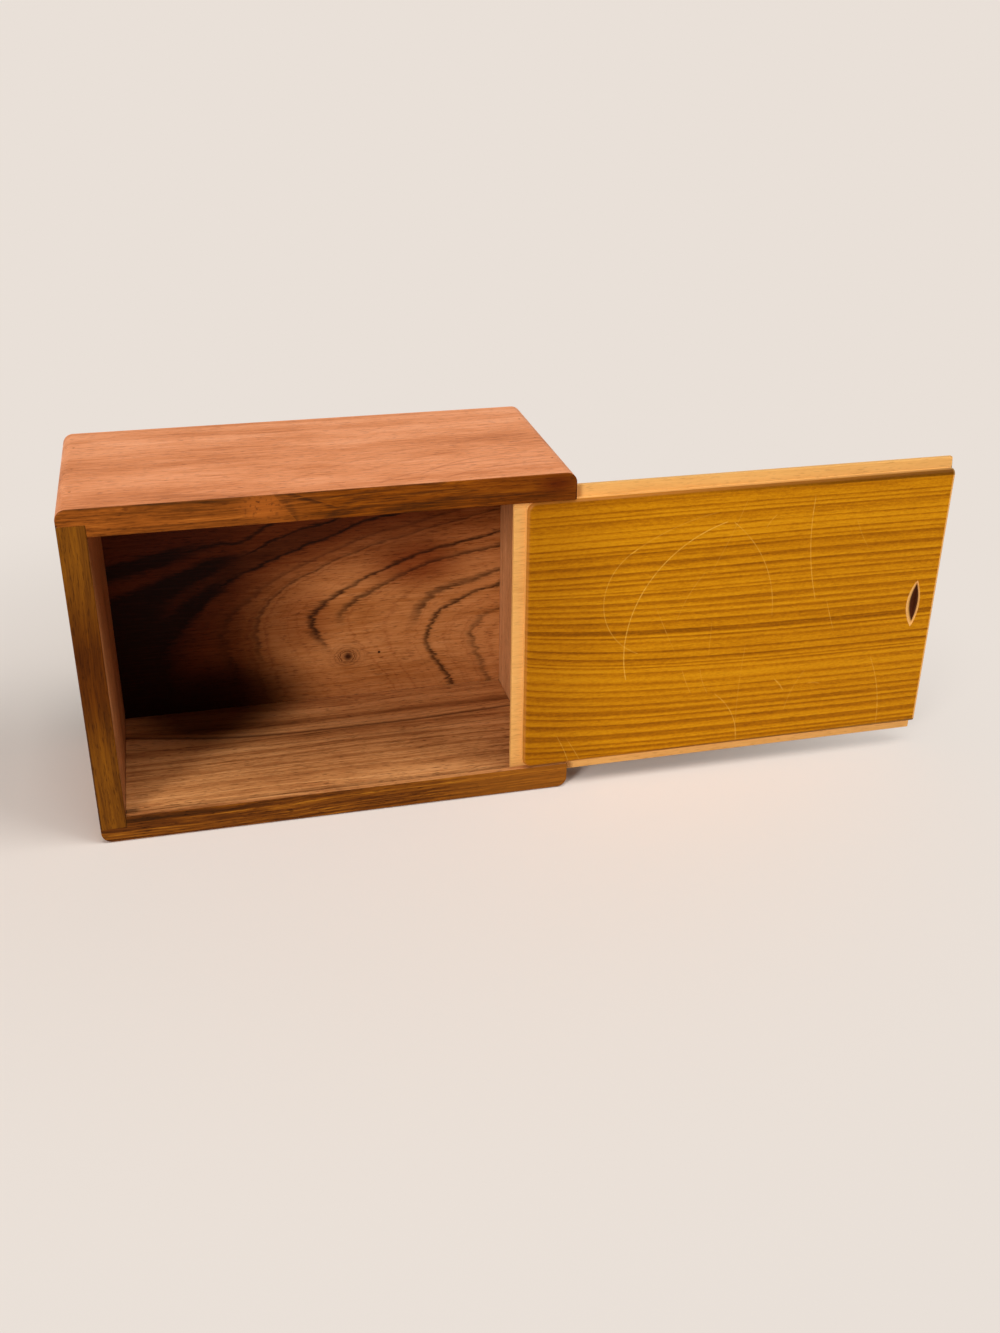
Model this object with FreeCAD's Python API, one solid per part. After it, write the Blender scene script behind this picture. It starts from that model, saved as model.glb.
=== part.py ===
import FreeCAD, Part
import math
import os

# A sliding-lid box that stands on one long side wall, with its opening towards -Y.
# X runs along the box from the closed end to the open end, Y from the opening to the
# bottom panel, and Z is up. The origin lies under the middle of the box, on the face it
# stands on. All sizes are in millimetres.

V = FreeCAD.Vector

# Driving dimensions of the box
box_length = 225.0
box_width = 165.0          # from one long side wall's outer face to the other's
box_depth = 104.0          # from the rim of the opening to the back of the bottom panel
side_wall_thickness = 12.8
end_wall_thickness = 12.0
bottom_thickness = 9.0
corner_radius = 5.0        # the four outer edges that run from front to back
arris_radius = 0.8         # the sanded edges round the front and the back

# Grooves and rebates, all cut at one setting of depth
cut_depth = 5.4
lip = 3.8                  # wood between the rim and the lid groove
groove_width = 3.2

# Sliding lid
slide_gap = 0.3            # running clearance between the lid and its grooves
lid_face_setback = 0.1     # how far the lid's face lies below the rim
lid_end_setback = 0.6      # how far its plain end stops short of the box's open end
lid_edge_round = 2.4       # round on the raised panel's upper edges
lid_corner_radius = 4.5    # the raised panel's two corners at the closed end
tongue_corner_radius = 3.0
lid_drawn = 190.0          # how far the lid stands drawn out

# Thumb notch, a scoop that ends at a steep curved wall
notch_length = 25.8
notch_tips_from_end = 11.0
notch_scoop_reach = 4.1    # from the line through its tips to its shallow end
notch_wall_reach = 3.0     # from the same line to its steep wall
notch_slope = 28.0         # degrees between the scoop's floor and the lid's face

# Headless brads, driven and punched just under the surface
brad_diameter = 1.4
brad_sink = 0.3
corner_brad_length = 25.0
corner_brads_per_joint = 3
corner_brad_first = 22.0   # from the rim to the first brad
corner_brad_spacing = 30.0
bottom_brad_length = 20.0
bottom_brads_along = 3     # on each long side
bottom_brads_across = 2    # on each short side
bottom_brad_inset = 30.0   # from the end of the panel's edge to its first brad

# Planes that the pieces share
closed_end = -box_length / 2
open_end = box_length / 2
rim = -box_depth / 2
back = box_depth / 2
closed_wall_inside = closed_end + end_wall_thickness
open_wall_inside = open_end - end_wall_thickness
lower_wall_inside = side_wall_thickness
upper_wall_inside = box_width - side_wall_thickness
groove_front = rim + lip
groove_back = groove_front + groove_width
bottom_inside = back - bottom_thickness
mid_height = box_width / 2


def block(x, y, z):
    """A box between the two values given for each axis."""
    corner = V(x[0], y[0], z[0])
    return Part.makeBox(x[1] - x[0], y[1] - y[0], z[1] - z[0], corner)


def edges_along(shape, direction):
    """The straight edges of a shape that run along a direction."""
    found = []
    for edge in shape.Edges:
        run = edge.Vertexes[-1].Point - edge.Vertexes[0].Point
        if run.Length > 0 and run.cross(direction).Length < 1e-6 * run.Length:
            found.append(edge)
    return found


def edges_in_plane(shape, axis, value):
    """The edges of a shape that lie wholly in one plane across an axis."""
    found = []
    for edge in shape.Edges:
        box = edge.BoundBox
        low = {"x": box.XMin, "y": box.YMin, "z": box.ZMin}[axis]
        high = {"x": box.XMax, "y": box.YMax, "z": box.ZMax}[axis]
        if abs(low - value) < 1e-4 and abs(high - value) < 1e-4:
            found.append(edge)
    return found


def outer_form():
    """The whole outside of the box: corners rounded first, then the sanded arrises."""
    form = block((closed_end, open_end), (rim, back), (0, box_width))
    form = form.makeFillet(corner_radius, edges_along(form, V(0, 1, 0)))
    sanded = edges_in_plane(form, "y", rim) + edges_in_plane(form, "y", back)
    return form.makeFillet(arris_radius, sanded)


def lower_side_wall(form):
    """One long wall: a lid groove right through, and rebates for both end walls and the bottom."""
    cut = (lower_wall_inside - cut_depth, lower_wall_inside)
    wall = form.common(block((closed_end, open_end), (rim, back), (0, lower_wall_inside)))
    groove = block((closed_end, open_end), (groove_front, groove_back), cut)
    closed_rebate = block((closed_end, closed_wall_inside), (rim, back), cut)
    open_rebate = block((open_wall_inside, open_end), (groove_back, back), cut)
    bottom_rebate = block((closed_end, open_end), (bottom_inside, back), cut)
    return wall.cut([groove, closed_rebate, open_rebate, bottom_rebate])


def mirrored(shape):
    """The same piece on the upper half of the box."""
    return shape.mirror(V(0, 0, mid_height), V(0, 0, 1))


def end_wall_height():
    """An end wall reaches into the rebates of both long walls."""
    return (lower_wall_inside - cut_depth, upper_wall_inside + cut_depth)


def closed_end_wall(form):
    """The full-depth end wall, grooved for the lid's leading tongue."""
    wall = form.common(block((closed_end, closed_wall_inside), (rim, back), end_wall_height()))
    cut = (closed_wall_inside - cut_depth, closed_wall_inside)
    groove = block(cut, (groove_front, groove_back), end_wall_height())
    bottom_rebate = block(cut, (bottom_inside, back), end_wall_height())
    return wall.cut([groove, bottom_rebate])


def open_end_wall(form):
    """The lower end wall, whose front edge the lid passes over."""
    wall = form.common(block((open_wall_inside, open_end), (groove_back, back), end_wall_height()))
    cut = (open_wall_inside, open_wall_inside + cut_depth)
    bottom_rebate = block(cut, (bottom_inside, back), end_wall_height())
    return wall.cut(bottom_rebate)


def bottom_panel():
    """The bottom board, let into the rebates of all four walls, flush with their backs."""
    length = (closed_wall_inside - cut_depth, open_wall_inside + cut_depth)
    return block(length, (bottom_inside, back), end_wall_height())


def thumb_scoop(end_x, face_y):
    """The wood that a wide gouge lifts out, up to a curved stop cut across the lid's length."""
    half = notch_length / 2
    tips_x = end_x - notch_tips_from_end
    slope = math.radians(notch_slope)
    # The stop cut is an arc through both tips, bulging towards the open end
    stop_radius = (half ** 2 + notch_wall_reach ** 2) / (2 * notch_wall_reach)
    stop_centre = V(tips_x + notch_wall_reach - stop_radius, face_y, mid_height)
    stop = Part.makeCylinder(stop_radius, lip, stop_centre, V(0, 1, 0))
    # The gouge's cylinder dips under the face at the scoop's shallow end
    dip = notch_scoop_reach * math.sin(slope)
    gouge_radius = (half ** 2 + dip ** 2) / (2 * dip)
    into_lid = V(math.cos(slope), math.sin(slope), 0)
    out_of_lid = V(math.sin(slope), -math.cos(slope), 0)
    shallow_end = V(tips_x - notch_scoop_reach, face_y, mid_height)
    gouge_start = shallow_end + out_of_lid * gouge_radius - into_lid * half
    gouge = Part.makeCylinder(gouge_radius, 2 * notch_length, gouge_start, into_lid)
    return gouge.common(stop)


def sliding_lid():
    """A raised panel with a tongue on three sides, plain at the end that is drawn out."""
    face = rim + lid_face_setback
    tongue_front = groove_front + slide_gap
    tongue_back = groove_back - slide_gap
    panel_x = (closed_wall_inside + slide_gap, open_end - lid_end_setback)
    panel_z = (lower_wall_inside + slide_gap, upper_wall_inside - slide_gap)
    panel = block(panel_x, (face, tongue_back), panel_z)
    corners = edges_along(panel, V(0, 1, 0))
    closed_corners = [edge for edge in corners if edge.BoundBox.XMax < 0]
    panel = panel.makeFillet(lid_corner_radius, closed_corners)
    upper_edges = edges_in_plane(panel, "y", face)
    plain_end = edges_in_plane(panel, "x", panel_x[1])
    rounded = [edge for edge in upper_edges if not any(edge.isSame(end) for end in plain_end)]
    panel = panel.makeFillet(lid_edge_round, rounded)
    tongue_x = (panel_x[0] - cut_depth, panel_x[1])
    tongue_z = (panel_z[0] - cut_depth, panel_z[1] + cut_depth)
    tongue = block(tongue_x, (tongue_front, tongue_back), tongue_z)
    corners = edges_along(tongue, V(0, 1, 0))
    closed_corners = [edge for edge in corners if edge.BoundBox.XMax < 0]
    tongue = tongue.makeFillet(tongue_corner_radius, closed_corners)
    lid = panel.fuse(tongue).removeSplitter()
    lid = lid.cut(thumb_scoop(panel_x[1], face))
    lid.translate(V(lid_drawn, 0, 0))
    return lid


def brad(surface_point, direction, length):
    """One headless brad, with its top just under the surface it was driven through."""
    top = surface_point + direction * brad_sink
    return Part.makeCylinder(brad_diameter / 2, length, top, direction)


def brad_hole(surface_point, direction, length):
    """The hole that a brad makes, up to the surface."""
    return Part.makeCylinder(brad_diameter / 2, length + brad_sink, surface_point, direction)


def corner_brad_places(x):
    """Where the brads of one end wall go in, on the lower and on the upper long wall."""
    places = []
    for number in range(corner_brads_per_joint):
        y = rim + corner_brad_first + number * corner_brad_spacing
        places.append((V(x, y, 0), V(0, 0, 1)))
        places.append((V(x, y, box_width), V(0, 0, -1)))
    return places


def evenly(first, last, count):
    """Evenly spaced places from the first to the last."""
    if count == 1:
        return [(first + last) / 2]
    return [first + (last - first) * number / (count - 1) for number in range(count)]


def bottom_brad_places():
    """Where the brads go through the bottom panel's margin into the four walls."""
    ledge = cut_depth / 2
    lower, upper = end_wall_height()
    left = closed_wall_inside - ledge
    right = open_wall_inside + ledge
    places = []
    for x in evenly(left + bottom_brad_inset, right - bottom_brad_inset, bottom_brads_along):
        places.append(V(x, back, lower + ledge))
        places.append(V(x, back, upper - ledge))
    for z in evenly(lower + bottom_brad_inset, upper - bottom_brad_inset, bottom_brads_across):
        places.append(V(left, back, z))
        places.append(V(right, back, z))
    return [(place, V(0, -1, 0)) for place in places]


def group(places, length):
    """All the brads of one group, as separate solids in one shape."""
    return Part.makeCompound([brad(point, way, length) for point, way in places])


def build():
    """Every piece of the box under its own name."""
    form = outer_form()
    lower = lower_side_wall(form)
    pieces = {
        "lower_side_wall": lower,
        "upper_side_wall": mirrored(lower),
        "closed_end_wall": closed_end_wall(form),
        "open_end_wall": open_end_wall(form),
        "bottom_panel": bottom_panel(),
    }
    closed_places = corner_brad_places(closed_end + end_wall_thickness / 2)
    open_places = corner_brad_places(open_end - end_wall_thickness / 2)
    bottom_places = bottom_brad_places()
    corner_holes = [brad_hole(point, way, corner_brad_length) for point, way in closed_places + open_places]
    bottom_holes = [brad_hole(point, way, bottom_brad_length) for point, way in bottom_places]
    for name in pieces:
        pieces[name] = pieces[name].cut(corner_holes + bottom_holes)
    pieces["closed_end_brads"] = group(closed_places, corner_brad_length)
    pieces["open_end_brads"] = group(open_places, corner_brad_length)
    pieces["bottom_brads"] = group(bottom_places, bottom_brad_length)
    pieces["sliding_lid"] = sliding_lid()
    return pieces


os.makedirs("parts", exist_ok=True)
for name, shape in build().items():
    shape.exportStep("parts/" + name + ".step")
    print(name, "solids", len(shape.Solids), "valid", shape.isValid(), "volume", round(shape.Volume, 1))
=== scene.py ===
import math
from types import SimpleNamespace

import bmesh
import bpy
import numpy as np
from mathutils import Matrix, Vector


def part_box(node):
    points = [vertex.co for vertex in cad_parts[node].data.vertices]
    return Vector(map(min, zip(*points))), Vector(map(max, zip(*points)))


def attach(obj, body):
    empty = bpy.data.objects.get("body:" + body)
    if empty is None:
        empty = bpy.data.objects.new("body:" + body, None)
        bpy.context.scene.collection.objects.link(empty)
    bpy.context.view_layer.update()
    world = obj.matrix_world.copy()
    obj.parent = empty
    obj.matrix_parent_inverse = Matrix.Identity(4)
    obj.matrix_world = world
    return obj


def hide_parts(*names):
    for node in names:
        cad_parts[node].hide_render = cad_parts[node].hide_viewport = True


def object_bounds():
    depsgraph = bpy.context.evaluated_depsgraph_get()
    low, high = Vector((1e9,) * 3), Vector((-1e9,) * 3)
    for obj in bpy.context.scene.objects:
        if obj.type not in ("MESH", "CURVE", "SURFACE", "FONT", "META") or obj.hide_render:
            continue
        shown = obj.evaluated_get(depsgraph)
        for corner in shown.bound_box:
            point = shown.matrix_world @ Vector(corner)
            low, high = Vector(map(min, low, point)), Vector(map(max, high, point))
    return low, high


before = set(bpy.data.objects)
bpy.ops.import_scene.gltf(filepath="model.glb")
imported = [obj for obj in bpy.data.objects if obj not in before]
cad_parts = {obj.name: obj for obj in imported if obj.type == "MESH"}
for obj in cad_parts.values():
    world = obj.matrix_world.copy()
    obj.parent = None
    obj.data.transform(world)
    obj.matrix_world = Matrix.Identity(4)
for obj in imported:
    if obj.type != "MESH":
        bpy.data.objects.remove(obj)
cad_low, cad_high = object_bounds()
scene = bpy.context.scene


# Lower side wall
# The long board that the box stands on. Reddish hardwood, planed and sanded, with a groove
# for the lid along its front and rebates that take both end walls and the bottom panel.
# It is varnished all over, and its front edge was toned golden brown with the lid.

def colour(code):
    """An sRGB hex value as linear red, green and blue, with full alpha."""
    channels = np.array([int(code[at:at + 2], 16) for at in (1, 3, 5)]) / 255
    linear = np.where(channels <= 0.04045, channels / 12.92, ((channels + 0.055) / 1.055) ** 2.4)
    return (*(float(value) for value in linear), 1.0)


def node(tree, kind, inputs=None, stops=None, **settings):
    """Adds one node with its settings, a ramp's stops, and a value or an output for each input."""
    made = tree.nodes.new(kind)
    for name, value in settings.items():
        setattr(made, name, value)
    for name, value in (inputs or {}).items():
        if isinstance(value, bpy.types.NodeSocket):
            tree.links.new(value, made.inputs[name])
        else:
            made.inputs[name].default_value = value
    if stops:
        ramp = made.color_ramp
        while len(ramp.elements) < len(stops):
            ramp.elements.new(0.5)
        for element, (place, code) in zip(ramp.elements, stops):
            element.position = place
            element.color = colour(code)
    return made


def sanded_board(node_name, name, cells=None):
    """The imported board's own form: its loose triangles are merged into flat faces, and its long
    sharp edges get a small sanded round. With cells it is also cut into a grid of that many
    millimetres along X and Z."""
    arris, shortest_edge, touching = 0.0004, 0.0022, 0.000002
    same_plane, sharp = math.radians(0.5), math.radians(50)
    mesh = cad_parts[node_name].data.copy()
    form = bmesh.new()
    form.from_mesh(mesh)
    bmesh.ops.remove_doubles(form, verts=form.verts, dist=touching)
    bmesh.ops.dissolve_limit(form, angle_limit=same_plane, verts=form.verts, edges=form.edges)
    weights = form.edges.layers.float.new("bevel_weight_edge")
    for edge in form.edges:
        corner = len(edge.link_faces) == 2 and edge.calc_face_angle(0) > sharp
        if corner and edge.calc_length() > shortest_edge:
            edge[weights] = 1
    if cells:
        low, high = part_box(node_name)
        for axis, across in ((0, Vector((1, 0, 0))), (2, Vector((0, 0, 1)))):
            for place in np.arange(low[axis] + cells / 2000, high[axis], cells / 1000):
                parts = form.verts[:] + form.edges[:] + form.faces[:]
                bmesh.ops.bisect_plane(
                    form, geom=parts, dist=touching / 2, plane_co=across * float(place), plane_no=across)
    for face in form.faces:
        face.smooth = True
    form.to_mesh(mesh)
    form.free()
    mesh.name = name
    mesh.materials.clear()
    board = bpy.data.objects.new(name, mesh)
    scene.collection.objects.link(board)
    sanding = board.modifiers.new("sanded edges", "BEVEL")
    sanding.width = arris
    sanding.segments = 2
    sanding.limit_method = "WEIGHT"
    sanding.use_clamp_overlap = False
    shading = board.modifiers.new("flat faces", "WEIGHTED_NORMAL")
    shading.keep_sharp = True
    return board


def dress(board, material, body, cad_name):
    """Gives a board its finish and its place in the frame."""
    board.data.materials.append(material)
    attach(board, body)
    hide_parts(cad_name)


def hardwood(name, turn, heart, ring, tones, wander=5.0, seed=0.0, contrast=1.0, mottle=0.5, pore_depth=0.45):
    """Solid wood in millimetres. The grain runs along X after the turn, and the growth rings are
    circles about the heart, which is given as its place across the grain. Returns the tree with
    the plain millimetres, also as x, y and z, and the bent ones, the shade from pale at 0 to dark
    at 1, the wood's colour, its fibres and its pores."""
    material = bpy.data.materials.new(name)
    material.use_nodes = True
    tree = material.node_tree
    tree.nodes.clear()
    place = node(tree, "ShaderNodeTexCoord").outputs["Object"]
    plain = node(tree, "ShaderNodeMapping", {"Vector": place, "Scale": (1000, 1000, 1000)}).outputs[0]
    parts = node(tree, "ShaderNodeSeparateXYZ", {0: plain}).outputs
    turned = node(tree, "ShaderNodeMapping", {
        "Vector": plain, "Rotation": turn, "Location": (seed, -heart[0], -heart[1])}).outputs[0]
    # The log's slow bends, a few millimetres over a hand's breadth
    slow = node(tree, "ShaderNodeMapping", {"Vector": turned, "Scale": (0.006, 0.021, 0.021)}).outputs[0]
    bends = node(tree, "ShaderNodeTexNoise", {
        "Vector": slow, "Scale": 1.0, "Detail": 2.0, "Roughness": 0.45}).outputs["Color"]
    bends = node(tree, "ShaderNodeVectorMath", {
        0: bends, 1: (0.5, 0.5, 0.5)}, operation="SUBTRACT").outputs[0]
    bends = node(tree, "ShaderNodeVectorMath", {
        0: bends, 1: (0, 2 * wander, 2 * wander)}, operation="MULTIPLY").outputs[0]
    bent = node(tree, "ShaderNodeVectorMath", {0: turned, 1: bends}, operation="ADD").outputs[0]
    across = node(tree, "ShaderNodeVectorMath", {
        0: bent, 1: (0.012, 1, 1)}, operation="MULTIPLY").outputs[0]
    radius = node(tree, "ShaderNodeVectorMath", {0: across}, operation="LENGTH").outputs["Value"]
    rings = node(tree, "ShaderNodeMath", {0: radius, 1: ring}, operation="DIVIDE").outputs[0]
    # Uneven rings: some years broad and dark, some hardly there
    years = node(tree, "ShaderNodeTexNoise", {
        "W": rings, "Scale": 1.0, "Detail": 3.0, "Roughness": 0.62}, noise_dimensions="1D").outputs["Fac"]
    # Fibres about 0.8 mm wide that run some 20 mm
    fine = node(tree, "ShaderNodeMapping", {"Vector": bent, "Scale": (0.05, 1.2, 1.2)}).outputs[0]
    fibres = node(tree, "ShaderNodeTexNoise", {
        "Vector": fine, "Scale": 1.0, "Detail": 4.0, "Roughness": 0.68}).outputs["Fac"]
    # Open pores, cut lengthwise: dark dashes 0.5 mm wide and about 4 mm long
    dashes = node(tree, "ShaderNodeMapping", {"Vector": bent, "Scale": (0.22, 1.9, 1.9)}).outputs[0]
    dashes = node(tree, "ShaderNodeTexNoise", {
        "Vector": dashes, "Scale": 1.0, "Detail": 1.0, "Roughness": 0.5}).outputs["Fac"]
    pores = node(tree, "ShaderNodeMapRange", {
        "Value": dashes, "From Min": 0.56, "From Max": 0.72}, interpolation_type="SMOOTHSTEP").outputs[0]
    patches = node(tree, "ShaderNodeTexNoise", {
        "Vector": slow, "Scale": 2.6, "Detail": 3.0, "Roughness": 0.6}).outputs["Fac"]
    # Rings, fibres and patches add up to the shade, each about its own mean of one half
    shade = node(tree, "ShaderNodeMath", {
        0: years, 1: 1.1 * contrast, 2: 0.5 - 0.55 * contrast}, operation="MULTIPLY_ADD").outputs[0]
    for figure, weight in ((fibres, 0.8), (patches, mottle)):
        shade = node(tree, "ShaderNodeMath", {
            0: figure, 1: weight, 2: shade}, operation="MULTIPLY_ADD").outputs[0]
    shade = node(tree, "ShaderNodeMath", {0: shade, 1: 0.4 + 0.5 * mottle}, operation="SUBTRACT").outputs[0]
    wood = node(tree, "ShaderNodeValToRGB", {0: shade}, stops=tones).outputs["Color"]
    pores_seen = times(tree, pores, pore_depth)
    wood = over(tree, pores_seen, wood, "#5A3018", "MULTIPLY")
    return SimpleNamespace(
        tree=tree, material=material, plain=plain, x=parts["X"], y=parts["Y"], z=parts["Z"], bent=bent,
        shade=shade, colour=wood, fibres=fibres, pores=pores, pores_seen=pores_seen)


def over(tree, amount, under, top, blend_type="MIX"):
    """One layer of colour over another, where amount is 1."""
    top = top if isinstance(top, bpy.types.NodeSocket) else colour(top)
    return node(tree, "ShaderNodeMix", {
        0: amount, 6: under, 7: top}, data_type="RGBA", blend_type=blend_type).outputs[2]


def tint(wood, amount, top, blend_type="MIX"):
    """Lays one more colour over the wood's own."""
    wood.colour = over(wood.tree, amount, wood.colour, top, blend_type)


def band(tree, value, start, end, high=1.0):
    """Rises smoothly from 0 at the start to its height at the end."""
    return node(tree, "ShaderNodeMapRange", {
        "Value": value, "From Min": start, "From Max": end, "To Max": high},
        interpolation_type="SMOOTHSTEP").outputs[0]


def times(tree, *values):
    """The product of some values, each a number or an output."""
    product = values[0]
    for value in values[1:]:
        product = node(tree, "ShaderNodeMath", {0: product, 1: value}, operation="MULTIPLY").outputs[0]
    return product


def spot(wood, centre, reach, core=0.0, ragged=0.0, squash=(1, 1, 1)):
    """1 within the core and 0 beyond the reach, in millimetres round a point, with a ragged edge.
    The squash shortens the reach along each axis, and where it is 0 the axis doesn't count."""
    away = node(wood.tree, "ShaderNodeVectorMath", {
        0: wood.plain, 1: centre}, operation="SUBTRACT").outputs[0]
    away = node(wood.tree, "ShaderNodeVectorMath", {0: away, 1: squash}, operation="MULTIPLY").outputs[0]
    far = node(wood.tree, "ShaderNodeVectorMath", {0: away}, operation="LENGTH").outputs["Value"]
    if ragged:
        far = node(wood.tree, "ShaderNodeMath", {
            0: wood.fibres, 1: 2 * ragged, 2: far}, operation="MULTIPLY_ADD").outputs[0]
        core, reach = core + ragged, reach + ragged
    return band(wood.tree, far, reach, core)


def toned_front(wood, tones, streaky=0.5):
    """The golden brown tone on the rim's face, up to where the sanded edge begins, with streaks
    about 2.5 mm apart."""
    tree = wood.tree
    wood.front = band(tree, wood.y, rim + 0.85, rim + 0.35)
    across = node(tree, "ShaderNodeSeparateXYZ", {0: wood.bent}).outputs["Z"]
    streaks = node(tree, "ShaderNodeTexNoise", {
        "W": across, "Scale": 0.4, "Detail": 3.0, "Roughness": 0.6}, noise_dimensions="1D").outputs["Fac"]
    shade = node(tree, "ShaderNodeMath", {
        0: streaks, 1: streaky, 2: wood.shade}, operation="MULTIPLY_ADD").outputs[0]
    shade = node(tree, "ShaderNodeMath", {0: shade, 1: streaky / 2}, operation="SUBTRACT").outputs[0]
    toned = node(tree, "ShaderNodeValToRGB", {0: shade}, stops=tones).outputs["Color"]
    toned = over(tree, wood.pores_seen, toned, "#5A3018", "MULTIPLY")
    tint(wood, wood.front, toned)


def satin_varnish(wood):
    """Thin satin varnish over open grain: weak wide highlights, a little duller in the fibres."""
    tree = wood.tree
    roughness, grain_depth = 0.42, 0.35
    gloss = node(tree, "ShaderNodeMapRange", {
        "Value": wood.fibres, "From Min": 0.3, "From Max": 0.7,
        "To Min": roughness - 0.05, "To Max": roughness + 0.07}).outputs[0]
    height = node(tree, "ShaderNodeMath", {
        0: wood.pores, 1: -0.7, 2: wood.fibres}, operation="MULTIPLY_ADD").outputs[0]
    bump = node(tree, "ShaderNodeBump", {
        "Height": height, "Strength": grain_depth, "Distance": 0.00012}).outputs[0]
    shader = node(tree, "ShaderNodeBsdfPrincipled", {
        "Base Color": wood.colour, "Roughness": gloss, "Normal": bump, "IOR": 1.5,
        "Specular IOR Level": 0.05}).outputs[0]
    node(tree, "ShaderNodeOutputMaterial", {0: shader})
    return wood.material


# The plane of the rim, in millimetres
rim = cad_low[1] * 1000
lower = sanded_board("lower_side_wall", "lower_wall_board")
wood = hardwood(
    "varnished reddish hardwood, lower wall", (0, 0, 0), (60, -46), 5.2,
    [(0.15, "#D69A62"), (0.42, "#C2854E"), (0.6, "#A46839"), (0.85, "#633718")], seed=40, contrast=0.7,
    pore_depth=0.6)
tree = wood.tree
# Dark lines of grain bow across the inside. In the bent wood's own millimetres they drop by
# 13.6 over 129 to either side, as the square of the distance
bow_middle, drop, reach = 70, 13.6, 129
parts = node(tree, "ShaderNodeSeparateXYZ", {0: wood.bent}).outputs
aside = node(tree, "ShaderNodeMath", {0: parts["X"], 1: bow_middle}, operation="SUBTRACT").outputs[0]
bow = node(tree, "ShaderNodeMath", {
    0: times(tree, aside, aside), 1: -drop / reach ** 2, 2: parts["Y"]}, operation="MULTIPLY_ADD").outputs[0]
for front, middle, behind, strength in [
        (-53.2, -51.9, -49.4, 0.8), (-48.6, -47.6, -46.2, 0.3), (-45, -44, -42.6, 0.2),
        (-41, -39.6, -38, 0.2), (-64, -63.2, -61.6, 0.35)]:
    line = times(tree, band(tree, bow, front, middle), band(tree, bow, behind, middle, strength))
    tint(wood, line, "#4A2410")
toned_front(wood, [(0.2, "#A86C1C"), (0.4, "#7E460E"), (0.58, "#5A2D08"), (0.8, "#341903")], streaky=0.9)
# The rim is more golden towards the open end
tint(wood, times(tree, band(tree, wood.x, 35, 85, 0.3), wood.front), "#B06A1C")
# Painted shade darkens the inside's far corner, where the walls shade it
painted_corner_shade = spot(wood, (-56, 46, 12.8), 55, 20, ragged=4, squash=(1, 1, 0))
inside = band(tree, wood.z, 10, 12)
tint(wood, times(tree, painted_corner_shade, inside, 0.85), "#4A2C18", "MULTIPLY")
dress(lower, satin_varnish(wood), "box", "lower_side_wall")


# Upper side wall
# The same board turned over, with its broad face up. Sawn near the log's side, so its grain is
# faint and mottled. Its pale pinkish orange is partly the varnished wood's own colour and partly
# painted sheen from the light above. Its front edge is golden brown, with one knot, and a dark
# patch near the open end.

def arc_mark(wood, start, middle, end, width, plane=(0, 2)):
    """A thin mark along the circle through three points, which are millimetres in the plane of
    two axes. It is 1 on the circle and 0 at 0.8 of the width from it, and stops at the outer
    two points."""
    a, b, c = (np.array(point, float) for point in (start, middle, end))
    centre = np.linalg.solve(2 * np.array([b - a, c - a]), np.array([b @ b - a @ a, c @ c - a @ a]))
    outward = (b - centre) / np.linalg.norm(b - centre)
    ends = float(min((a - centre) @ outward, (c - centre) @ outward))
    middle, facing, flat = ([0.0, 0.0, 0.0] for _ in range(3))
    for axis, place, way in zip(plane, centre, outward):
        middle[axis], facing[axis], flat[axis] = place, way, 1.0
    tree, radius = wood.tree, float(np.linalg.norm(a - centre))
    away = node(tree, "ShaderNodeVectorMath", {0: wood.plain, 1: middle}, operation="SUBTRACT").outputs[0]
    away = node(tree, "ShaderNodeVectorMath", {0: away, 1: flat}, operation="MULTIPLY").outputs[0]
    far = node(tree, "ShaderNodeVectorMath", {0: away}, operation="LENGTH").outputs["Value"]
    off = node(tree, "ShaderNodeMath", {0: far, 1: radius}, operation="SUBTRACT").outputs[0]
    off = node(tree, "ShaderNodeMath", {0: off}, operation="ABSOLUTE").outputs[0]
    along = node(tree, "ShaderNodeVectorMath", {0: away, 1: facing}, operation="DOT_PRODUCT").outputs["Value"]
    within = node(tree, "ShaderNodeMath", {0: along, 1: ends}, operation="GREATER_THAN").outputs[0]
    return times(tree, band(tree, off, 0.8 * width, 0.1 * width), within)


upper = sanded_board("upper_side_wall", "upper_wall_board")
# Paler tones than the lower wall's: the same wood with painted sheen from the light above
wood = hardwood(
    "varnished reddish hardwood, upper wall", (0, 0, 0), (-20, 262), 6.5,
    [(0.12, "#F4AA7E"), (0.42, "#E39362"), (0.62, "#CE7D4B"), (0.9, "#9A552C")], seed=310,
    contrast=0.45, mottle=0.6, pore_depth=0.4)
tree = wood.tree
toned_front(wood, [(0.2, "#B06824"), (0.42, "#8E4B14"), (0.58, "#70390B"), (0.78, "#422207")])
# A golden swirl stands round the knot, specked with dark. Right of it the rim is browner, and
# near the open end greyer
swirl = times(tree, spot(wood, (-27.3, rim, 160.4), 12, 2, ragged=3, squash=(0.8, 1, 1.5)), wood.front)
specks = node(tree, "ShaderNodeTexNoise", {
    "Vector": wood.plain, "Scale": 0.62, "Detail": 4.0}).outputs["Fac"]
specks = times(tree, band(tree, specks, 0.52, 0.66, 0.75), swirl)
tint(wood, times(tree, swirl, 0.6), "#A6581C")
tint(wood, specks, "#45200A")
tint(wood, times(tree, band(tree, wood.x, -24, 8), wood.front), "#DDD37C", "MULTIPLY")
tint(wood, times(tree, band(tree, wood.x, 55, 85, 0.6), wood.front), "#D4C8B0", "MULTIPLY")
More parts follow.
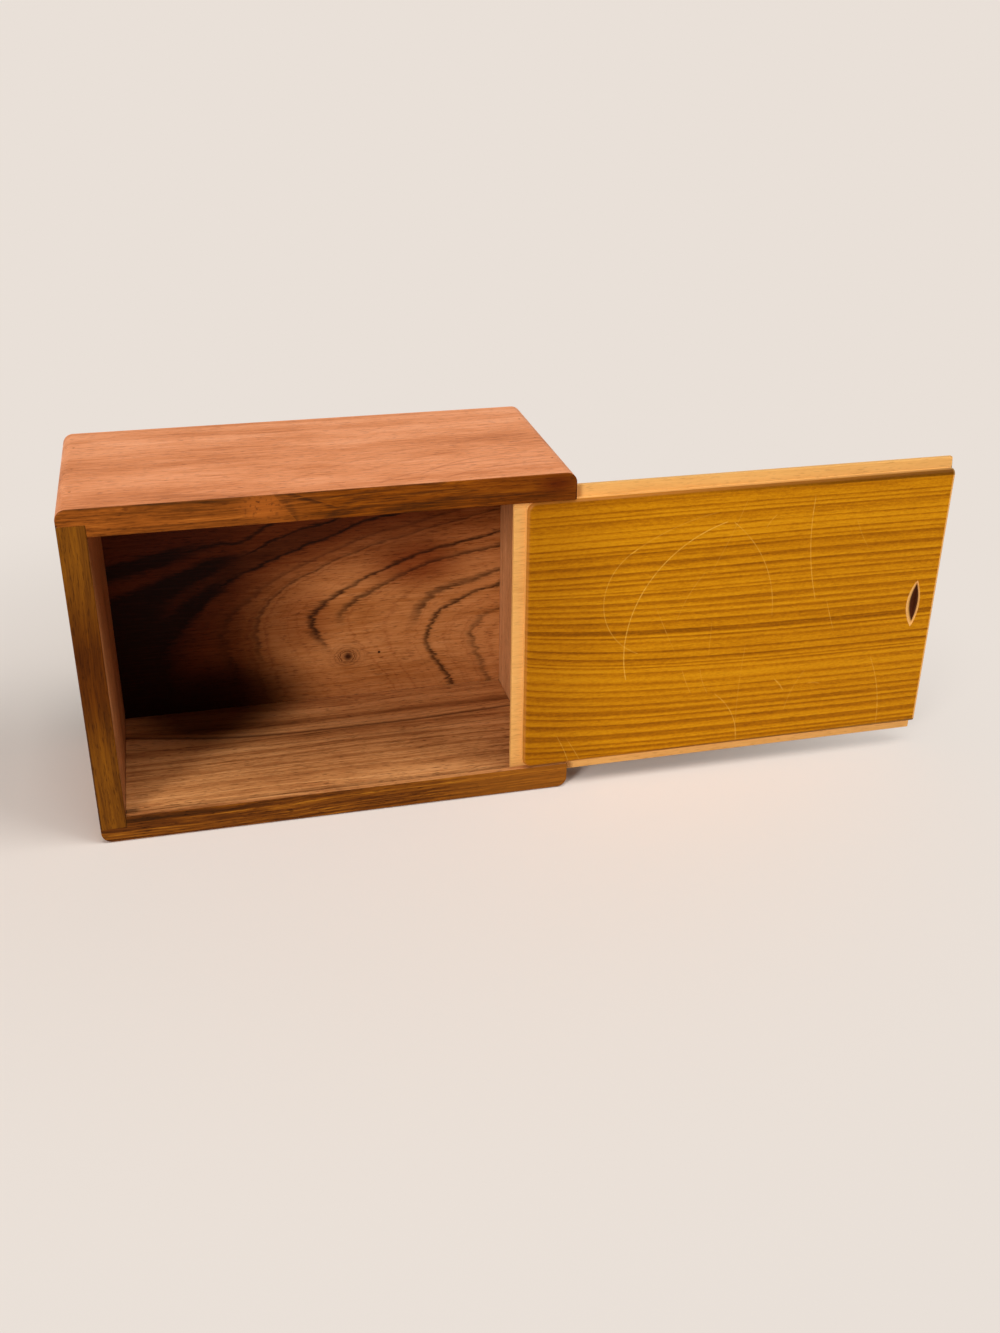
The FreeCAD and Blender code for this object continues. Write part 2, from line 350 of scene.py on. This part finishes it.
# Beside the swirl the rim's grain sweeps down in dark arcs
for start, middle, end, width, strength in [
        ((-14.8, 165), (-8.7, 162.3), (0.8, 158.8), 2.6, 0.7),
        ((-20.5, 163.5), (-16.5, 160), (-14.2, 153.9), 3.6, 0.5),
        ((2.2, 154), (13, 160.1), (51.4, 164.1), 2.8, 0.5),
        ((13.1, 155.8), (29.5, 159.5), (64, 159.7), 2.2, 0.45),
        ((-14, 163), (0, 161.5), (16, 163.5), 1.9, 0.5),
        ((30, 154.5), (52, 157), (88, 156.5), 2.6, 0.4)]:
    sweep = times(tree, arc_mark(wood, start, middle, end, width), wood.front, strength)
    tint(wood, times(tree, sweep, band(tree, wood.fibres, 0.3, 0.58)), "#2E1606")
patch = spot(wood, (103, rim, 160.4), 9, 1, ragged=4, squash=(0.6, 1, 1.3))
tint(wood, times(tree, patch, wood.front), "#C0A078", "MULTIPLY")
# On the broad face the grain bows round towards the open end, and one short mark crosses it
for start, middle, end, width, strength in [
        ((46, -38), (72, -23), (106, -21), 1.3, 0.35), ((30, -43), (62, -30), (106, -28), 1.6, 0.3),
        ((58, -44), (80, -36), (107, -35), 1.3, 0.35), ((20, -30), (66, -12), (106, -10), 1.8, 0.22),
        ((-10, -33), (40, -6), (105, 6), 2.0, 0.2), ((64, 1.2), (67, 0), (70, 1.4), 1.8, 0.5)]:
    sweep = arc_mark(wood, start, middle, end, width, plane=(0, 1))
    tint(wood, times(tree, band(tree, wood.fibres, 0.36, 0.56, strength), sweep), "#8A4422")
dress(upper, satin_varnish(wood), "box", "upper_side_wall")


# Closed end wall
# The end board that the lid stops against, let into both long walls, with its grain upright.
# The same reddish hardwood, darker at its front edge, which was toned with the rim.

closed = sanded_board("closed_end_wall", "closed_end_board")
wood = hardwood(
    "varnished reddish hardwood, closed end", (0, math.pi / 2, 0), (30, 40), 4.2,
    [(0.15, "#C08458"), (0.42, "#A66A3E"), (0.62, "#8A522C"), (0.9, "#5A3218")], seed=120, contrast=0.4)
toned_front(wood, [(0.15, "#90580E"), (0.42, "#78460A"), (0.6, "#643808"), (0.85, "#472404")], streaky=0.3)
# The middle of the rim is darker
darker_middle = spot(wood, (-106.5, rim, 88), 56, 8, ragged=4, squash=(0, 1, 1))
tint(wood, times(wood.tree, darker_middle, wood.front), "#B8A084", "MULTIPLY")
dress(closed, satin_varnish(wood), "box", "closed_end_wall")


# Open end wall
# The lower end board, which the lid passes over. Its inside shows straight upright grain, and
# its front edge runs from tan through a dark band to reddish brown, with the grain aslant.

opened = sanded_board("open_end_wall", "open_end_board")
wood = hardwood(
    "varnished reddish hardwood, open end", (0, math.pi / 2, 0), (70, -90), 4.6,
    [(0.15, "#CE9464"), (0.42, "#BA7F52"), (0.62, "#A56B40"), (0.9, "#7A4826")], seed=520, wander=2.0,
    contrast=0.45)
tree = wood.tree
low, high = (np.array(corner) * 1000 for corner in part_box("open_end_wall"))
front_edge, middle, steepness = low[1], (low[0] + high[0]) / 2, 1.5
# The grain runs aslant over the front edge, so its stripes slope down towards the inside. The
# slope is a stripe's height in the middle of the edge
slope = node(tree, "ShaderNodeMath", {
    0: wood.x, 1: -steepness, 2: wood.z}, operation="MULTIPLY_ADD").outputs[0]
slope = node(tree, "ShaderNodeMath", {0: slope, 1: steepness * middle}, operation="ADD").outputs[0]
slant = node(tree, "ShaderNodeTexNoise", {
    "W": slope, "Scale": 0.5, "Detail": 4.0, "Roughness": 0.7}, noise_dimensions="1D").outputs["Fac"]
tan = node(tree, "ShaderNodeValToRGB", {0: slant}, stops=[
    (0.3, "#C29A68"), (0.5, "#A9774C"), (0.7, "#6E4526")]).outputs["Color"]
red = node(tree, "ShaderNodeValToRGB", {0: slant}, stops=[
    (0.3, "#B47048"), (0.5, "#9A5A34"), (0.7, "#5E3018")]).outputs["Color"]
edge = over(tree, band(tree, slope, 122, 108), tan, red)
dark_band = times(tree, band(tree, slope, 128, 118), band(tree, slope, 100, 114, 0.85))
edge = over(tree, dark_band, edge, "#3A1E10")
tint(wood, band(tree, wood.y, front_edge + 1.1, front_edge + 0.5), edge)
dress(opened, satin_varnish(wood), "box", "open_end_wall")


# Bottom panel
# One wide flat-sawn board let into the backs of all four walls. Near-black streaks sweep across
# it in nested arches that open towards the open end, round one small knot. Varnished satin.

# Each streak has its age in the log, its sharp side, its feathered side, its darkness, the
# height below which it fades, and some points along it as millimetres of X and Z
streaks = [
    (0, 2.5, 2.5, 0.9, 0, [(-99, 95), (-72, 101), (-32, 106), (10, 122), (60, 136), (105, 146)]),
    (12, 2.2, 2, 1.0, 0, [
        (-99, 77), (-82, 82), (-64, 90), (-43, 98), (-21, 105), (0, 112), (22, 118), (100, 136)]),
    (24, 1.9, 3, 1.0, 0, [
        (-84, 20), (-84, 45), (-75, 60), (-65, 68), (-52, 78), (-32, 90), (-13, 97), (11, 104),
        (49, 115), (100, 126)]),
    (38, 1.5, 3, 0.4, 30, [(-38, 14), (-42, 36), (-46, 60), (-41, 67), (-27, 77), (-5, 89)]),
    (48, 1.2, 2.5, 0.55, 45, [
        (-22, 14), (-27, 32), (-29, 51), (-28, 63), (-22, 72), (-5, 85), (14, 93), (41, 101),
        (76, 108), (99, 113)]),
    (70, 1.6, 3, 0.9, 50, [
        (28, 13), (16, 26), (4, 48), (-1, 59), (3, 65), (14, 72), (31, 81), (49, 89), (69, 95),
        (99, 101)]),
    (80, 1.2, 3.5, 0.75, 64, [(17, 65), (28, 71), (42, 78), (63, 86), (84, 90), (100, 92)]),
    (100, 2.0, 4, 0.75, 60, [(56, 54), (59, 64), (68, 70), (85, 74), (100, 79)]),
    (108, 1.5, 2.6, 0.85, 0, [(74, 15), (63, 34), (60, 45), (64, 53), (75, 61), (88, 67), (101, 70)]),
    (124, 1.3, 3, 0.5, 0, [(94, 16), (88, 32), (86, 44), (89, 50), (99, 56)]),
]


def age_in_log(x, z):
    """The log's age over the panel: the smooth surface, made of terms r squared times the log of
    r about each point and one plane, that has each streak's age at the points along it."""
    known = np.array([point for streak in streaks for point in streak[5]], float)
    ages = np.array([streak[0] for streak in streaks for _ in streak[5]], float)

    def terms(places):
        apart = ((places[:, None, :] - known[None, :, :]) ** 2).sum(-1)
        return 0.5 * apart * np.log(apart + 1e-9)

    plane = np.column_stack([np.ones(len(known)), known])
    # A little give on the diagonal keeps the surface smooth between close points
    give = 40 * np.eye(len(known))
    system = np.block([[terms(known) + give, plane], [plane.T, np.zeros((3, 3))]])
    weights = np.linalg.solve(system, np.concatenate([ages, np.zeros(3)]))
    places = np.column_stack([x, z])
    return terms(places) @ weights[:-3] + np.column_stack([np.ones(len(x)), places]) @ weights[-3:]


panel = sanded_board("bottom_panel", "figured_bottom_board", cells=2.5)
corners = np.empty(len(panel.data.vertices) * 3)
panel.data.vertices.foreach_get("co", corners)
corners = corners.reshape(-1, 3) * 1000
ages = panel.data.attributes.new("age", "FLOAT", "POINT")
ages.data.foreach_set("value", age_in_log(corners[:, 0], corners[:, 2]).astype(np.float32))

wood = hardwood(
    "varnished figured hardwood", (0, 0, 0), (47, 60), 5.0,
    [(0.1, "#C98A54"), (0.42, "#B87743"), (0.62, "#A0602E"), (0.9, "#643616")], seed=77, contrast=0.2)
tree = wood.tree
# The plane of the panel's inside face, in millimetres
panel_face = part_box("bottom_panel")[0].y * 1000
age = node(tree, "ShaderNodeAttribute", attribute_name="age").outputs["Fac"]
# The streaks' ragged edges follow the fibres, so they are long in X and short in Z
for stretch, reach in (((0.05, 0.05, 0.25), 3.4), ((0.2, 0.2, 1.0), 3.0)):
    ragged = node(tree, "ShaderNodeMapping", {"Vector": wood.plain, "Scale": stretch}).outputs[0]
    ragged = node(tree, "ShaderNodeTexNoise", {
        "Vector": ragged, "Scale": 1.0, "Detail": 2.0, "Roughness": 0.6}).outputs["Fac"]
    age = node(tree, "ShaderNodeMath", {0: ragged, 1: reach, 2: age}, operation="MULTIPLY_ADD").outputs[0]
    age = node(tree, "ShaderNodeMath", {0: age, 1: reach / 2}, operation="SUBTRACT").outputs[0]
# Faint lines between the streaks, some 2 mm apart
lines = node(tree, "ShaderNodeTexNoise", {
    "W": age, "Scale": 0.3, "Detail": 3.0, "Roughness": 0.65}, noise_dimensions="1D").outputs["Fac"]
tint(wood, band(tree, lines, 0.5, 0.75, 0.28), "#A87850", "MULTIPLY")
# Along its length a streak grows weaker and stronger again, every few centimetres
along = node(tree, "ShaderNodeMapping", {"Vector": wood.plain, "Scale": (0.045, 0.045, 0.07)}).outputs[0]
along = node(tree, "ShaderNodeTexNoise", {
    "Vector": along, "Scale": 1.0, "Detail": 2.0, "Roughness": 0.5}).outputs["Fac"]
along = node(tree, "ShaderNodeMapRange", {
    "Value": along, "From Min": 0.3, "From Max": 0.48, "To Min": 0.75, "To Max": 1.0}).outputs[0]
dark = 0.0
for level, sharp, feather, darkness, lowest, _ in streaks:
    rise = band(tree, age, level - feather, level, darkness)
    streak = times(tree, rise, band(tree, age, level + sharp, level))
    if lowest > 0:
        streak = times(tree, streak, band(tree, wood.z, lowest - 14, lowest + 4))
    dark = node(tree, "ShaderNodeMath", {0: dark, 1: streak}, operation="MAXIMUM").outputs[0]
dark = times(tree, dark, along)
# On the left the two strongest swell and run together into one near-black mass, and the wood
# between them stays darker up to the middle of the board. The mass is partly the streaks' own
# dark wood and partly painted shade, where the closed end wall shades the board
for rise, fall, right, left, strength in [
        ((-5, -2), (5.5, 2), -42, -72, 1.0), ((7, 10.5), (20, 15.5), -18, -50, 1.0),
        ((18, 22), (28.5, 25.5), -32, -52, 1.0), ((9, 13), (36, 27), -56, -82, 1.0),
        ((11, 14), (25, 22), 45, -10, 0.5)]:
    swollen = band(tree, wood.x, right, left, strength)
    mass = times(tree, band(tree, age, *rise), band(tree, age, *fall), swollen)
    dark = node(tree, "ShaderNodeMath", {0: dark, 1: mass}, operation="MAXIMUM").outputs[0]
threads = node(tree, "ShaderNodeMapRange", {
    "Value": wood.fibres, "From Min": 0.35, "From Max": 0.55, "To Min": 0.86, "To Max": 1.0}).outputs[0]
dark = times(tree, dark, threads)
# The outer rings are redder and darker, partly in their own tone and partly with painted shade.
# Painted shade also darkens the board's left, its upper right, its foot and two places between
# the arches, where the walls shade it
for amount, tone in [
        (band(tree, age, 70, 18, 0.95), "#A4805C"), (band(tree, wood.x, -2, -72, 0.75), "#9A6C52"),
        (times(tree, band(tree, wood.z, 62, 108, 0.5), band(tree, wood.x, -60, 10)), "#B0845E"),
        (band(tree, wood.z, 40, 14, 0.3), "#B08A70")]:
    tint(wood, amount, tone, "MULTIPLY")
for centre, reach, squash, strength in [
        ((56, panel_face, 87), 36, (1, 0, 1.8), 0.85), ((-4, panel_face, 60), 24, (1, 0, 1), 0.45)]:
    shaded = spot(wood, centre, reach, 6, ragged=4, squash=squash)
    tint(wood, times(tree, shaded, strength), "#B08460", "MULTIPLY")
# Painted shade darkens the inside's far lower corner, where the walls shade it
painted_corner_shade = spot(wood, (-48, panel_face, 18), 56, 16, ragged=5, squash=(1, 0, 1.8))
inside = band(tree, wood.y, panel_face + 4, panel_face + 2)
tint(wood, times(tree, painted_corner_shade, inside, 0.85), "#4A2C18", "MULTIPLY")
tint(wood, dark, "#200C04")
# The knot has rings of its own round a dark heart, and a mark like a pinhole lies right of it
knot = spot(wood, (17.1, panel_face, 36.2), 11, 1, ragged=1.6, squash=(0.9, 0, 1.1))
rings = node(tree, "ShaderNodeTexNoise", {
    "W": times(tree, knot, 9.0), "Scale": 1.0, "Detail": 1.0}, noise_dimensions="1D").outputs["Fac"]
tint(wood, times(tree, knot, 0.4), "#86502A")
tint(wood, times(tree, band(tree, rings, 0.45, 0.65), knot), "#5E3216")
tint(wood, spot(wood, (17.6, panel_face, 36), 3.2, 0.5, ragged=1.0, squash=(1, 0, 1)), "#3A1C0C")
tint(wood, spot(wood, (34.3, panel_face, 36.9), 1.0, 0.4, squash=(1, 0, 1)), "#2A140A")
dress(panel, satin_varnish(wood), "box", "bottom_panel")


# Sliding lid
# A quarter-sawn board with close stripes along its length, raised over a tongue on three sides
# and scooped out for a thumb. Yellow-toned varnish on its face, bare pale wood on the tongues.

lid = sanded_board("sliding_lid", "lid_board")
wood = hardwood(
    "yellow varnished striped wood", (0, 0, 0), (900, 60), 3.6,
    [(0.15, "#E9B268"), (0.5, "#DFA55C"), (0.85, "#C88C46")], seed=210, wander=1.0, contrast=0.6,
    pore_depth=0.2)
tree = wood.tree
# The raised face's lower corner at its closed end, in millimetres, and each point's depth
# below that face
low, high = (np.array(corner) * 1000 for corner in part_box("sliding_lid"))
tongue = 5.4
face_corner = low[[0, 2]] + tongue
depth = node(tree, "ShaderNodeMath", {0: wood.y, 1: low[1]}, operation="SUBTRACT").outputs[0]
# Near the closed end the stripes fan downwards. Each fan's length along the lid leaves about a
# third of the drop
fan_drop, fan_length = 11, 55
fan = node(tree, "ShaderNodeMath", {
    0: wood.x, 1: -1 / fan_length, 2: face_corner[0] / fan_length}, operation="MULTIPLY_ADD").outputs[0]
fan = node(tree, "ShaderNodeMath", {0: fan}, operation="EXPONENT").outputs[0]
fan = times(tree, fan, band(tree, wood.z, 128, 72, -fan_drop), band(tree, wood.z, -10, 60))
bent_z = node(tree, "ShaderNodeSeparateXYZ", {0: wood.bent}).outputs["Z"]
height = node(tree, "ShaderNodeMath", {0: bent_z, 1: fan}, operation="ADD").outputs[0]
# Growth rings cut square: each year starts pale and ends in a dark line, 3 to 5 mm apart
year_width = 3.7
drift = node(tree, "ShaderNodeTexNoise", {
    "W": height, "Scale": 0.09, "Detail": 2.0}, noise_dimensions="1D").outputs["Fac"]
year = times(tree, height, 1 / year_width)
year = node(tree, "ShaderNodeMath", {0: drift, 1: 3.0, 2: year}, operation="MULTIPLY_ADD").outputs[0]
season = node(tree, "ShaderNodeMath", {0: year}, operation="FRACT").outputs[0]
late = times(tree, band(tree, season, 0.25, 0.8), band(tree, season, 1.0, 0.86))
strong = node(tree, "ShaderNodeMath", {0: year}, operation="FLOOR").outputs[0]
strong = node(tree, "ShaderNodeTexWhiteNoise", {"W": strong}, noise_dimensions="1D").outputs["Value"]
strong = node(tree, "ShaderNodeMath", {0: strong, 1: 0.15, 2: 0.22}, operation="MULTIPLY_ADD").outputs[0]
shade = times(tree, late, strong)
for spacing, weight in ((1.1, 0.12), (13.0, 0.3)):
    stripes = node(tree, "ShaderNodeTexNoise", {
        "W": height, "Scale": 1 / spacing, "Detail": 1.0}, noise_dimensions="1D").outputs["Fac"]
    shade = node(tree, "ShaderNodeMath", {
        0: stripes, 1: weight, 2: shade}, operation="MULTIPLY_ADD").outputs[0]
# Each stripe changes a little along its length, the fibres break its edges, and sanding marks
# and short fibres make the whole face a little grainy
flow = node(tree, "ShaderNodeCombineXYZ", {0: wood.x, 2: height}).outputs[0]
flow = node(tree, "ShaderNodeMapping", {"Vector": flow, "Scale": (0.022, 1, 0.4)}).outputs[0]
flow = node(tree, "ShaderNodeTexNoise", {
    "Vector": flow, "Scale": 1.0, "Detail": 3.0, "Roughness": 0.6}).outputs["Fac"]
grain = node(tree, "ShaderNodeMapping", {"Vector": wood.plain, "Scale": (0.5, 1.2, 1.2)}).outputs[0]
grain = node(tree, "ShaderNodeTexNoise", {
    "Vector": grain, "Scale": 1.0, "Detail": 3.0, "Roughness": 0.75}).outputs["Fac"]
for figure, weight in ((flow, 0.38), (wood.fibres, 0.35), (grain, 0.5)):
    shade = node(tree, "ShaderNodeMath", {
        0: figure, 1: weight, 2: shade}, operation="MULTIPLY_ADD").outputs[0]
shade = node(tree, "ShaderNodeMath", {0: shade, 1: 0.52}, operation="SUBTRACT").outputs[0]
face = node(tree, "ShaderNodeValToRGB", {0: shade}, stops=[
    (0.18, "#CA880A"), (0.38, "#B97603"), (0.54, "#A46301"), (0.72, "#8C5100"),
    (0.9, "#6C3C00")]).outputs["Color"]
face = over(tree, wood.pores_seen, face, "#8A5A20", "MULTIPLY")
face = over(tree, band(tree, wood.x, face_corner[0] + 62, face_corner[0], 0.45), face, "#B49C84", "MULTIPLY")
# Fine curved scratches, as points in millimetres from the face's corner, a width and a strength
scratches = 0.0
for start, middle, end, width, strength in [
        ((49.5, 51.7), (58.2, 92), (96.8, 122), 0.55, 0.95),
        ((50.2, 60.9), (37.8, 84), (53.4, 112.2), 0.45, 0.6),
        ((100.2, 121.5), (118, 99), (124.2, 75.8), 0.45, 0.6),
        ((140.4, 131), (141, 104), (146.5, 78), 0.5, 0.75),
        ((53.4, 112.2), (70, 121), (91.6, 127.1), 0.4, 0.4),
        ((66.4, 75.9), (69.4, 69), (72.6, 62), 0.45, 0.6),
        ((93.4, 68.4), (93.2, 62), (93.2, 56.3), 0.4, 0.4),
        ((101.4, 27.2), (108.7, 16.7), (111.8, 0), 0.5, 0.7),
        ((112, 54.3), (110.6, 28), (111.4, 0.6), 0.35, 0.35),
        ((183.4, 37), (188, 22), (190.1, 1.6), 0.45, 0.65),
        ((17.1, 15.4), (20.4, 8.5), (22.9, 1.4), 0.4, 0.5),
        ((22.8, 12.4), (26.5, 6), (29.5, 0), 0.4, 0.5),
        ((154, 73), (155.6, 68), (157.6, 62.5), 0.5, 0.7),
        ((87.2, 96.4), (80, 85.5), (75.2, 73), 0.35, 0.4),
        ((80.2, 44.6), (82.3, 38.6), (85.2, 32.4), 0.4, 0.45),
        ((89.3, 44.7), (91, 38), (94, 31.4), 0.4, 0.4),
        ((145.4, 37.6), (140, 28), (136.8, 17.1), 0.4, 0.4),
        ((117, 117.5), (118.8, 120.7), (121.4, 123.3), 0.45, 0.6),
        ((164.1, 116.8), (167, 110), (171.2, 103.1), 0.4, 0.35),
        ((105.3, 130.3), (99, 114), (90.5, 96.4), 0.35, 0.35),
        ((130.3, 34.1), (132.6, 31.8), (134.5, 28.7), 0.7, 0.7),
        ((148.6, 30.4), (151.5, 30.6), (154.4, 29.6), 0.7, 0.7)]:
    mark = arc_mark(wood, *(np.array(point) + face_corner for point in (start, middle, end)), width)
    scratches = node(tree, "ShaderNodeMath", {
        0: mark, 1: strength, 2: scratches}, operation="MULTIPLY_ADD").outputs[0]
worn = node(tree, "ShaderNodeMapRange", {
    "Value": flow, "From Min": 0.3, "From Max": 0.6, "To Min": 0.15, "To Max": 0.75}).outputs[0]
scratches = node(tree, "ShaderNodeMath", {
    0: scratches, 1: worn}, operation="MULTIPLY", use_clamp=True).outputs[0]
face = over(tree, scratches, face, "#E0A840")
# The varnish thins out on the rounded edges, and leaves the tongues and the plain end bare
rounded = over(tree, 0.6, face, "#B07030")
face = over(tree, band(tree, depth, 0.15, 0.8), face, rounded)
plain_end = band(tree, wood.x, high[0] - 0.9, high[0] - 0.5)
bare = node(tree, "ShaderNodeMath", {
    0: band(tree, depth, 1.6, 2.1), 1: plain_end}, operation="MAXIMUM").outputs[0]
# The thumb notch: a bare arris round a hollow that is darker deeper down
notch = spot(wood, (high[0] - 11.4, low[1], (low[2] + high[2]) / 2), 15.5, 14.5, squash=(2, 1, 1))
scooped = times(tree, notch, band(tree, depth, 0.04, 0.14), band(tree, depth, 5.9, 5.5))
bare = node(tree, "ShaderNodeMath", {0: bare, 1: scooped}, operation="MAXIMUM").outputs[0]
tint(wood, times(tree, scooped, band(tree, depth, 0.7, 1.8)), "#46200E")
wood.colour = over(tree, bare, face, wood.colour)
dress(lid, satin_varnish(wood), "lid", "sliding_lid")


# Brads
# Headless steel pins driven through the long walls into the end walls, and through the bottom
# panel's margin, then punched just under the surface. Drawn wire, dulled and darkened with age.

material = bpy.data.materials.new("dull drawn steel")
material.use_nodes = True
tree = material.node_tree
tree.nodes.clear()
shader = node(tree, "ShaderNodeBsdfPrincipled", {
    "Base Color": colour("#5A5048"), "Metallic": 1.0, "Roughness": 0.55}).outputs[0]
node(tree, "ShaderNodeOutputMaterial", {0: shader})
for group in ("closed_end_brads", "open_end_brads", "bottom_brads"):
    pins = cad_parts[group]
    pins.data.materials.clear()
    pins.data.materials.append(material)


# Studio
# A wide pale table, one soft lamp from the front left, one from the right and one from above,
# and the photographer's standing place in front of the box.

def round_table(radius, rings, spokes):
    """A flat disc: rings of points whose distance grows with the square of the ring's number."""
    reach = radius * (np.arange(1, rings + 1) / rings) ** 2
    turn = np.arange(spokes) * 2 * np.pi / spokes
    points = np.stack([np.outer(reach, np.cos(turn)), np.outer(reach, np.sin(turn)),
                       np.zeros((rings, spokes))], axis=-1).reshape(-1, 3)
    ring = np.arange(rings - 1)[:, None] * spokes
    spoke = np.arange(spokes)[None, :]
    after = (spoke + 1) % spokes
    quads = np.stack([ring + spoke, ring + spokes + spoke, ring + spokes + after, ring + after], axis=-1)
    mesh = bpy.data.meshes.new("table")
    mesh.from_pydata(points.tolist(), [], quads.reshape(-1, 4).tolist() + [list(range(spokes))])
    return mesh


def seen_directly(tree):
    """1 where a ray comes from the camera, a mirror or glass, and 0 where it only carries light."""
    rays = node(tree, "ShaderNodeLightPath").outputs
    seen = rays["Is Camera Ray"]
    for kind in ("Is Glossy Ray", "Is Transmission Ray"):
        seen = node(tree, "ShaderNodeMath", {0: seen, 1: rays[kind]}, operation="MAXIMUM").outputs[0]
    return seen


table = bpy.data.objects.new("table", round_table(9.0, 24, 96))
# A fifth of a millimetre below the box, so that no two faces lie in one plane
table.location.z = -0.0002
scene.collection.objects.link(table)
material = bpy.data.materials.new("matt white paper")
material.use_nodes = True
tree = material.node_tree
tree.nodes.clear()
paper = node(tree, "ShaderNodeBsdfPrincipled", {
    "Base Color": colour("#E0D6CD"), "Roughness": 0.9, "Specular IOR Level": 0.1}).outputs[0]
# Away from the box's shadow the paper shows its own colour, as far as the eye goes
place = node(tree, "ShaderNodeTexCoord").outputs["Object"]
far = node(tree, "ShaderNodeVectorMath", {0: place}, operation="LENGTH").outputs["Value"]
amount = times(tree, seen_directly(tree), band(tree, far, 0.15, 0.42))
plain_paper = node(tree, "ShaderNodeEmission", {"Color": colour("#E9E0D8")}).outputs[0]
shader = node(tree, "ShaderNodeMixShader", {0: amount, 1: paper, 2: plain_paper}).outputs[0]
node(tree, "ShaderNodeOutputMaterial", {0: shader})
table.data.materials.append(material)

world = bpy.data.worlds.new("pale studio")
scene.world = world
world.use_nodes = True
tree = world.node_tree
tree.nodes.clear()
room_light = 0.05
seen = seen_directly(tree)
strength = node(tree, "ShaderNodeMapRange", {"Value": seen, "To Min": room_light, "To Max": 1.0}).outputs[0]
pale = over(tree, seen, colour("#FFFFFF"), "#E9E0D8")
shader = node(tree, "ShaderNodeBackground", {"Color": pale, "Strength": strength}).outputs[0]
node(tree, "ShaderNodeOutputWorld", {0: shader})


def soft_box(name, azimuth, elevation, distance, size, share):
    """A square lamp that faces the box. Its share is how much of a facing surface's colour it gives."""
    box_middle = Vector((0, 0, 0.08))
    lamp = bpy.data.lights.new(name, "AREA")
    lamp.size = size
    lamp.energy = share * math.pi ** 2 * distance ** 2
    turn, rise = math.radians(azimuth), math.radians(elevation)
    away = Vector((-math.sin(turn) * math.cos(rise), -math.cos(turn) * math.cos(rise), math.sin(rise)))
    lamp_object = bpy.data.objects.new(name, lamp)
    lamp_object.location = box_middle + away * distance
    lamp_object.rotation_euler = away.to_track_quat("Z", "Y").to_euler()
    scene.collection.objects.link(lamp_object)


soft_box("key light", 42, 21, 3.0, 0.8, 0.82)
soft_box("side light", -66, 50, 3.0, 1.6, 0.5)
soft_box("overhead light", 0, 76, 3.0, 1.2, 0.36)

# The camera's place in metres, and how it is turned in degrees
stand = Vector((-0.0611, -0.6080, 0.3697))
turned_right, tilted_down, rolled = math.radians(14.0), math.radians(27.5), math.radians(0.6)
ahead = Vector((math.sin(turned_right) * math.cos(tilted_down),
                math.cos(turned_right) * math.cos(tilted_down), -math.sin(tilted_down)))
level = Vector((math.cos(turned_right), -math.sin(turned_right), 0))
upright = level.cross(ahead)
right = math.cos(rolled) * level + math.sin(rolled) * upright
up = -math.sin(rolled) * level + math.cos(rolled) * upright
camera = bpy.data.cameras.new("camera")
camera.sensor_width = 36.0
camera.sensor_fit = "HORIZONTAL"
camera.lens = 49.3
camera.clip_start = 0.01
camera_object = bpy.data.objects.new("camera", camera)
camera_object.matrix_world = Matrix((
    (right.x, up.x, -ahead.x, stand.x),
    (right.y, up.y, -ahead.y, stand.y),
    (right.z, up.z, -ahead.z, stand.z),
    (0, 0, 0, 1)))
scene.collection.objects.link(camera_object)
scene.camera = camera_object
scene.view_settings.view_transform = "Standard"
